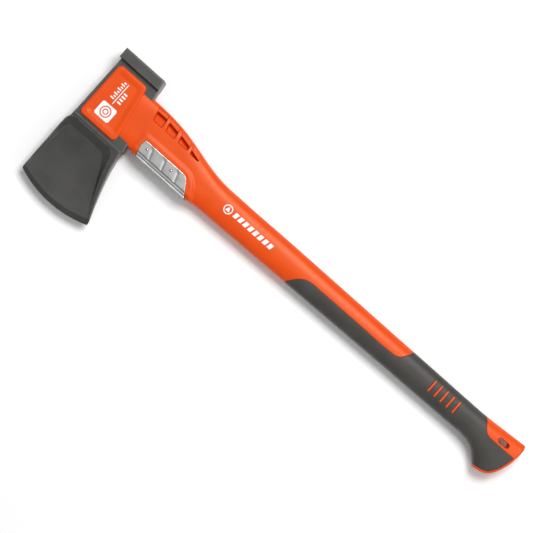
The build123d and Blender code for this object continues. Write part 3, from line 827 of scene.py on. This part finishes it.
def prism(rings, heights):
    """Closed mesh through rings of equal length, each with its heights, capped at both ends."""
    size = len(rings[0])
    verts = np.concatenate([place(r[:, 0], r[:, 1], h) for r, h in zip(rings, heights)])
    ahead = (np.arange(size) + 1) % size
    faces = [list(range(size - 1, -1, -1)), list(range((len(rings) - 1) * size, len(rings) * size))]
    for k in range(len(rings) - 1):
        near, far = k * size, (k + 1) * size
        faces += [[i + near, j + near, j + far, i + far] for i, j in enumerate(ahead.tolist())]
    return verts.tolist(), faces


def nearest(points, x, y, half):
    """Surface height at plan points, from the nearest points of a grid."""
    return np.array([half[np.argmin((x - px) ** 2 + (y - py) ** 2)] for px, py in points])


def pocket_cutter(corners, radius, side):
    """Tapered prism of one pocket: chamfered rim, drafted walls, sloping floor."""
    outline = rounded(corners, radius)
    skin = arm_detail(outline[:, 0], outline[:, 1], form_half(outline[:, 0], outline[:, 1]))
    rings = [rounded(corners, radius, radius * grow) for grow in (0.4, 0.4, 0.0, -0.55, -0.85)]
    (ax, ay), (bx, by) = corners[:2]
    beds = []
    for ring in rings[3:]:
        from_top = ay + (by - ay) / (bx - ax) * (ring[:, 0] - ax) - ring[:, 1]
        beds.append(POCKET_HALF + POCKET_RISE * from_top)
    heights = [np.full(len(outline), CUT_TOP), skin + 0.25, skin - 0.35, beds[0] + 0.6, beds[1]]
    return prism(rings, [side * h for h in heights])


def slot_cutter(x, y, half):
    """Prism of the hanging slot, flared where it meets the surface given by x, y and half."""
    rings = []
    for r in (SLOT_R + 0.9, SLOT_R + 0.9, SLOT_R + 0.25, SLOT_R):
        rings.append(np.array(arc(SLOT[0] + SLOT_REACH, SLOT[1], r, -90, 90, 25)
                              + arc(SLOT[0] - SLOT_REACH, SLOT[1], r, 90, 270, 25)))
    skin = nearest(rings[2], x, y, half)
    heights = [np.full(50, CUT_TOP), skin + 0.3, skin - 0.5, skin - 1.4]
    return prism(rings + rings[::-1], heights + [-h for h in heights[::-1]])


def cut_openings(obj, x, y, half):
    """Takes the pockets out of the arm and the hanging slot out of the butt."""
    parts = [slot_cutter(x, y, half)]
    for corners, radius in zip(POCKETS, POCKET_R):
        parts += [pocket_cutter(corners, radius, side) for side, _ in SIDES]
    verts, faces = [], []
    for v, f in parts:
        faces += [[i + len(verts) for i in face] for face in f]
        verts += v
    mesh = bpy.data.meshes.new("cutter")
    mesh.from_pydata(verts, [], faces)
    face_out(mesh)
    cutter = linked("cutter", mesh)
    step = obj.modifiers.new("openings", "BOOLEAN")
    step.operation = "DIFFERENCE"
    step.solver = "EXACT"
    step.object = cutter
    apply_modifiers(obj)
    bpy.data.objects.remove(cutter)
    obj.data.set_sharp_from_angle(angle=math.radians(35.0))


def apply_modifiers(obj):
    """Bakes an object's modifiers into its mesh."""
    seen = obj.evaluated_get(bpy.context.evaluated_depsgraph_get())
    mesh = bpy.data.meshes.new_from_object(seen)
    obj.modifiers.clear()
    obj.data = mesh


def grip_sleeve():
    """Soft overmould: belly side first, then all round, out to the rim of the butt."""
    rows = np.concatenate([
        np.arange(338.0, 372.0, 0.9), np.arange(372.0, 490.0, 4.0), np.arange(490.0, 521.0, 0.9),
        np.arange(521.0, 556.0, 3.5), np.arange(556.0, 606.5, 0.5), np.arange(608.0, 634.0, 2.5),
        np.linspace(634.0, LAST_STATION - 0.8, 56), LAST_STATION - np.array([0.6, 0.4, 0.2, 0.0])])
    grid = []
    for t in rows:
        (_, (v, factor)), _, _ = section_lines(t, 8, 84)
        x, y = plan(t, v)
        half = float(stations_at(t)[4])
        thick = half * factor - np.where(factor > 0.2, groove(x, y), 0)
        end_gap = (LAST_STATION - t) * 1.2
        thick = thick - GROOVE_D * np.clip(1 - end_gap / GROOVE_W, 0, 1) ** 2 * (factor > 0.2)
        grid.append((x, y, thick))
    x, y, thick = (np.array([g[i] for g in grid]) for i in range(3))
    ribs = (x > 550) & (x < 612) & (thick > 6)
    thick[ribs] -= 0.9 * (1 - smooth(slit_distance(x[ribs], y[ribs]), -0.05, 0.45))
    verts, faces = sandwich(place(x, y, thick), place(x, y, -thick))
    obj = make_object("soft_grip_sleeve", verts, faces, RUBBER, 50.0)
    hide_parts("grip_overmould")


def grip_ribs():
    """Orange ribs of the moulding that show through the slits, on both flanks."""
    y = spread(13.8, -3.6, 0.5, SLIT_HALF_W, SLIT_HALF_W)
    verts, faces, count = [], [], 0
    for i in range(SLITS):
        for side, _ in SIDES:
            middle = SLIT_X + SLIT_PITCH * i
            rows, s = np.meshgrid(y, np.linspace(-1, 1, 13), indexing="ij")
            over = np.maximum(np.abs(rows - SLIT_Y) - SLIT_STRAIGHT, 0)
            wide = np.sqrt(np.maximum(SLIT_HALF_W**2 - over**2, 1e-4))
            x = middle + s * wide
            top = form_half(x, rows) + 0.15 - rounding(-slit_distance(x, rows), 0.7)
            v, f = sandwich(place(x, rows, side * top), place(x, rows, side * (form_half(x, rows) - 2.0)))
            verts.append(v)
            faces.append(f + count)
            count += len(v)
    obj = make_object("grip_ribs", np.concatenate(verts), np.concatenate(faces), ORANGE, 50.0)


# ------------------------------------------------------------------ strike guard
# Section of the pressed sheet from its back edge down the flank and round the nose: y, height
GUARD_LINE = [(-4.5, 15.5), (-4.55, 15.95), (-4.7, 16.15), (-5.1, 16.22), (-7.0, 16.2), (-20.2, 16.2),
              (-20.8, 16.05), (-21.3, 15.75), (-21.8, 15.6), (-22.4, 15.6), (-24.0, 15.6), (-24.4, 15.45),
              (-24.8, 15.15), (-25.2, 15.0), (-25.8, 15.02), (-26.8, 15.07), (-27.7, 15.08), (-28.1, 14.85),
              (-28.4, 14.1), (-28.6, 13.0), (-28.6, 9.4), (-28.6, 4.0), (-28.6, 0.0)]
GUARD_LEFT = [(-4.5, 97.6), (-4.7, 95.6), (-5.0, 94.2), (-6.2, 93.2), (-8.0, 92.7), (-28.6, 96.8)]
GUARD_RIGHT = [(-4.5, 152.0), (-4.8, 156.0), (-6.0, 160.4), (-8.0, 163.2), (-11.0, 165.8), (-18.0, 170.4),
               (-28.6, 177.2)]
RIB_STARTS = (107.6, 128.0, 149.6)
RIB_DEPTH = 0.22
CREST = 0.15
GUARD_ROLL = 0.6
RIVETS = [(102.1, -12.3), (141.7, -12.0)]
RIVET_R = 2.2
SHEET_T = 1.2


def strike_guard():
    """Folded stainless sheet with pressed grooves, a low crest at the upper end of each."""
    line = np.array(GUARD_LINE)
    run = np.concatenate([[0], np.cumsum(np.hypot(*np.diff(line, axis=0).T))])
    s = np.unique(np.concatenate([run, np.linspace(0, run[19], 86), np.linspace(run[19], run[-1], 16)]))
    y, height = np.interp(s, run, line[:, 0]), np.interp(s, run, line[:, 1])
    soft = np.convolve(np.pad(height, 1, mode="edge"), [0.2, 0.6, 0.2], mode="valid")
    height = np.where((y < -5.5) & (s < run[20]), soft, height)
    y = np.concatenate([y, y[-2::-1]])
    height = np.concatenate([height, -height[-2::-1]])
    left = hermite(*zip(*sorted(GUARD_LEFT)), y)
    right = hermite(*zip(*sorted(GUARD_RIGHT)), y)
    t = spread(0, 74.0, 0.66, GUARD_ROLL, GUARD_ROLL) / 74.0
    x = left[:, None] + (right - left)[:, None] * t[None, :]
    yy = np.repeat(y[:, None], x.shape[1], axis=1)
    zz = np.repeat(height[:, None], x.shape[1], axis=1)
    normal_y, normal_z = -np.gradient(height), np.gradient(y)
    size = np.hypot(normal_y, normal_z)
    normal_y, normal_z = -normal_y / size, -normal_z / size
    lift = np.zeros_like(x)
    for start in RIB_STARTS:
        off = (x - start + 1.0 - 0.32 * (-4.2 - yy)) / 1.8
        lift -= RIB_DEPTH * np.exp(-off**2) * smooth(-yy, 6.6, 9.4) * (1 - smooth(-yy, 19.6, 21.4))
        crest = np.exp(-((x - start + 0.6) / 2.8) ** 2) * (1 - smooth(-yy, 4.8, 7.4))
        lift += CREST * crest
    border = np.minimum(x - left[:, None], right[:, None] - x)
    lift -= rounding(border, GUARD_ROLL)
    ny, nz = normal_y[:, None], normal_z[:, None]
    outer = place(x, yy + lift * ny, zz + lift * nz)
    inner = place(x, yy - SHEET_T * ny, zz - SHEET_T * nz)
    verts, faces = sandwich(outer, inner)
    obj = make_object("guard_sheet", verts, faces, SHEET, 38.0)
    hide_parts("strike_guard")


def guard_rivets():
    """Dome heads of the rivets on both flanks."""
    radii = [RIVET_R] + [RIVET_R * math.cos(math.radians(a)) for a in range(0, 90, 9)]
    tops = [14.0] + [15.6 + 1.7 * math.sin(math.radians(a)) for a in range(0, 90, 9)]
    verts, faces = [], []
    for rx, ry in RIVETS:
        rings = [np.array(arc(rx, ry, r, count=40)) for r in radii]
        for side, _ in SIDES:
            v, f = prism(rings, [np.full(40, side * top) for top in tops])
            faces += [[i + len(verts) for i in face] for face in f]
            verts += v
    obj = make_object("rivet_domes", verts, faces, RIVET, 45.0)
    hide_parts("guard_rivets")


# ------------------------------------------------------------------ printed marks
def bar(x0, x1, y0, y1, lean=0.0):
    """A bar, its upper end shifted by lean."""
    return [(x0, y0), (x1, y0), (x1 + lean, y1), (x0 + lean, y1)]


def printed(name, loops, surface, pitch):
    """Ink film over the even-odd area of loops, on both flanks, following surface(x, y)."""
    points, edges = [], []
    for loop in loops:
        first = len(points)
        for (ax, ay), (bx, by) in zip(loop, loop[1:] + loop[:1]):
            parts = max(1, int(math.hypot(bx - ax, by - ay) / pitch))
            for k in range(parts):
                points.append((ax + (bx - ax) * k / parts, ay + (by - ay) * k / parts))
        count = len(points) - first
        edges += [(first + k, first + (k + 1) % count) for k in range(count)]

    def within(x, y):
        hit = np.zeros(np.shape(x), bool)
        for loop in loops:
            hit ^= inside(x, y, loop) > 0
        return hit

    low, high = np.min(points, axis=0), np.max(points, axis=0)
    gx, gy = np.meshgrid(np.arange(low[0], high[0], pitch), np.arange(low[1], high[1], pitch))
    near = np.full(gx.shape, 1e9)
    for loop in loops:
        near = np.minimum(near, np.abs(inside(gx, gy, loop)))
    use = within(gx, gy) & (near > 0.35 * pitch)
    points += list(zip(gx[use], gy[use]))
    made = delaunay_2d_cdt([Vector(p) for p in points], edges, [], 0, 1e-7)
    xy = np.array([(p.x, p.y) for p in made[0]])
    tris = np.array([f for f in made[2] if len(f) == 3])
    centre = xy[tris].mean(axis=1)
    tris = tris[within(centre[:, 0], centre[:, 1])]
    used = np.unique(tris)
    tris = np.searchsorted(used, tris)
    x, y = xy[used].T
    height = surface(x, y)
    border = {}
    for a, b, c in tris.tolist():
        for e in ((a, b), (b, c), (c, a)):
            border[e] = border.get(e, 0) + 1
    rim = [e for e in border if (e[1], e[0]) not in border]
    verts, faces, count = [], [], 0
    for side, _ in SIDES:
        verts += [place(x, y, side * (height + 0.05)), place(x, y, side * (height - 0.25))]
        n = len(x)
        faces += [(a + count, b + count, c + count) for a, b, c in tris.tolist()]
        faces += [(c + n + count, b + n + count, a + n + count) for a, b, c in tris.tolist()]
        faces += [(a + count, a + n + count, b + n + count, b + count) for a, b in rim]
        count += 2 * n
    mesh = bpy.data.meshes.new(name)
    mesh.from_pydata(np.concatenate(verts).tolist(), [], faces)
    face_out(mesh)
    mesh.shade_smooth()
    mesh.set_sharp_from_angle(angle=math.radians(40))
    mesh.materials.append(INK)
    obj = linked(name, mesh)
    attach(obj, "root")


def marks():
    """Plain graphics where the tool carries its printing: a log end with a scale, and a striped band."""
    badge = [(23.0, -21.6), (42.0, -21.6), (43.8, -19.8), (43.8, -3.6), (42.0, -1.8), (23.0, -1.8),
             (21.2, -3.6), (21.2, -19.8)]
    log = [arc(32.5, -11.7, 7.6), arc(32.5, -11.7, 6.0), arc(32.5, -11.7, 3.9), arc(32.5, -11.7, 2.4)]
    stem = [bar(31.85, 32.95, 1.2, 32.3)]
    ticks = [bar(24.2 + 2.2 * (k % 2), 29.8, 6.2 + 3.4 * k, 7.9 + 3.4 * k) for k in range(8)]
    steps = [bar(35.0, 40.6 - 0.5 * (k % 2), 6.2 + 4.3 * k, 8.4 + 4.3 * k) for k in range(4)]
    scale = stem + ticks + steps
    printed("badge_print", [badge] + log + scale, lambda x, y: np.full(np.shape(x), PANEL_HALF), 1.5)
    ring = [arc(226.5, -0.5, 6.2), arc(226.5, -0.5, 4.9)]
    tree = [[(226.5, 3.3), (229.9, -2.9), (223.1, -2.9)]]
    stripes = [bar(235.6 + 8.1 * k, 241.0 + 8.1 * k, -3.6, 3.4, 1.8) for k in range(8)]
    printed("shaft_print", ring + tree + stripes, form_half, 0.9)


steel_head()
for face_side, which in SIDES:
    cheek_cover(face_side, which)
handle_moulding()
grip_sleeve()
grip_ribs()
strike_guard()
guard_rivets()
marks()


# ------------------------------------------------------------------ floor and light
def floor():
    """White ground that the axe lies on."""
    mesh = bpy.data.meshes.new("floor")
    size = 3.0
    mesh.from_pydata([(-size, -size, 0), (size, -size, 0), (size, size, 0), (-size, size, 0)], [],
                     [(0, 1, 2, 3)])
    obj = linked("floor", mesh)
    mat, tree, shader = new_material("floor_paper")
    cloud = noise(tree, 3.0, 2.0)
    tree.links.new(mix(tree, cloud, (0.94, 0.94, 0.94), (0.96, 0.96, 0.96)), shader.inputs["Base Color"])
    shader.inputs["Roughness"].default_value = 0.9
    shader.inputs["Specular IOR Level"].default_value = 0.1
    mesh.materials.append(mat)


def area_light(name, spot, target, size, power):
    """A soft square lamp at spot, facing target."""
    data = bpy.data.lights.new(name, "AREA")
    data.shape = "SQUARE"
    data.size = size
    data.energy = power
    obj = linked(name, data)
    obj.location = spot
    obj.rotation_euler = (Vector(target) - Vector(spot)).to_track_quat("-Z", "Y").to_euler()


floor()
# Key lamp high on the hammer's side, a weaker one beyond the butt
area_light("key", (0.0, 1.0, 2.15), (0, 0, 0), 0.9, 45.0)
area_light("side", (2.4, 0.1, 1.35), (0, 0, 0), 1.4, 13.0)


def room(overhead, front, back):
    """White surroundings: strengths overhead, and on the horizon on the key lamp's side and opposite."""
    world = bpy.data.worlds.new("world")
    world.use_nodes = True
    tree = world.node_tree
    coords = tree.nodes.new("ShaderNodeTexCoord")
    split = tree.nodes.new("ShaderNodeSeparateXYZ")
    tree.links.new(coords.outputs["Generated"], split.inputs["Vector"])
    horizon = ramp(tree, split.outputs["Y"], -0.8, 0.8, back, front)
    fall = tree.nodes.new("ShaderNodeMapRange")
    fall.inputs["To Max"].default_value = overhead
    tree.links.new(split.outputs["Z"], fall.inputs["Value"])
    tree.links.new(horizon, fall.inputs["To Min"])
    tree.links.new(fall.outputs["Result"], tree.nodes["Background"].inputs["Strength"])
    tree.nodes["Background"].inputs["Color"].default_value = (1, 1, 1, 1)
    bpy.context.scene.world = world


room(0.48, 0.25, 0.45)
bpy.context.scene.view_settings.view_transform = "Standard"
